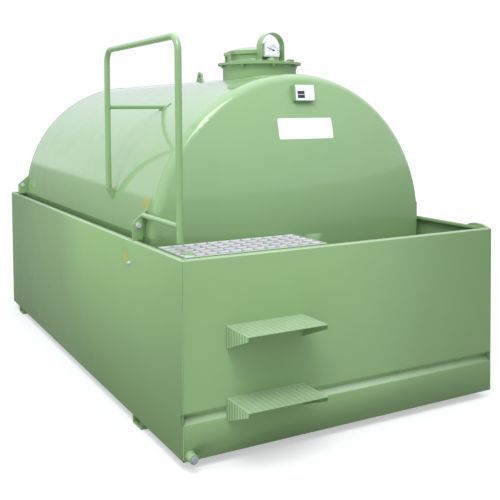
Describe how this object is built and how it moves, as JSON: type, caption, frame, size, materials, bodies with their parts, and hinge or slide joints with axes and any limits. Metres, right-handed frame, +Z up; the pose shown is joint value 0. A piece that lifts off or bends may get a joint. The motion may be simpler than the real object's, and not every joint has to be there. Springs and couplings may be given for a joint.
{
  "type": "waste oil tank",
  "caption": "Horizontal cylindrical waste oil tank with dished ends in an open containment basin, with steps, a grating platform, a handrail, a manway, a hinged filler lid and a level gauge.",
  "frame": {"origin": "middle of the footprint, steps included, on the ground", "axes": "+Z up, +Y along the tank's axis away from the steps, +X to the right of someone facing the steps"},
  "size_m": [1.95, 3.87, 2.153],
  "materials": {
    "green_paint": "gloss",
    "galvanised": "dull zinc",
    "gauge_white": "satin",
    "plate_metal": "satin",
    "black_plastic": "satin"
  },
  "bodies": {
    "tank": {"basin_floor": "green_paint", "basin_front_wall": "green_paint", "basin_back_wall": "green_paint", "basin_left_wall": "green_paint", "basin_right_wall": "green_paint", "front_skid": "green_paint", "back_skid": "green_paint", "drain_socket": "green_paint", "drain_plug": "galvanised", "upper_step": "green_paint", "lower_step": "green_paint", "platform_frame": "green_paint", "platform_grating": "galvanised", "hand_hole_cover": "green_paint", "tank_shell": "green_paint", "front_head": "green_paint", "back_head": "green_paint", "front_saddle": "green_paint", "back_saddle": "green_paint", "tank_gussets": "green_paint", "basin_lugs": "green_paint", "hold_down_bolts": "galvanised", "manway_neck": "green_paint", "manway_flange": "green_paint", "manway_cover": "green_paint", "port_plug": "black_plastic", "filler_riser": "green_paint", "filler_hinge": "green_paint", "filler_hinge_pin": "galvanised", "gauge_stem": "green_paint", "gauge_housing": "gauge_white", "gauge_dial": "gauge_white", "gauge_guard": "green_paint", "lifting_lug": "green_paint", "name_plate_bracket": "green_paint", "name_plate": "plate_metal", "handrail_hoop": "green_paint", "handrail_side_stay": "green_paint", "handrail_upper_stay": "green_paint", "handrail_pad": "green_paint", "handrail_foot": "green_paint"},
    "lid": {"filler_lid": "green_paint"}
  },
  "joints": [
    {"name": "filler_lid_hinge", "type": "hinge", "parent": "tank", "child": "lid", "pos_m": [-0.1935, -0.665, 2.031], "axis": [0, -1, 0], "range_deg": [0, 105]}
  ]
}
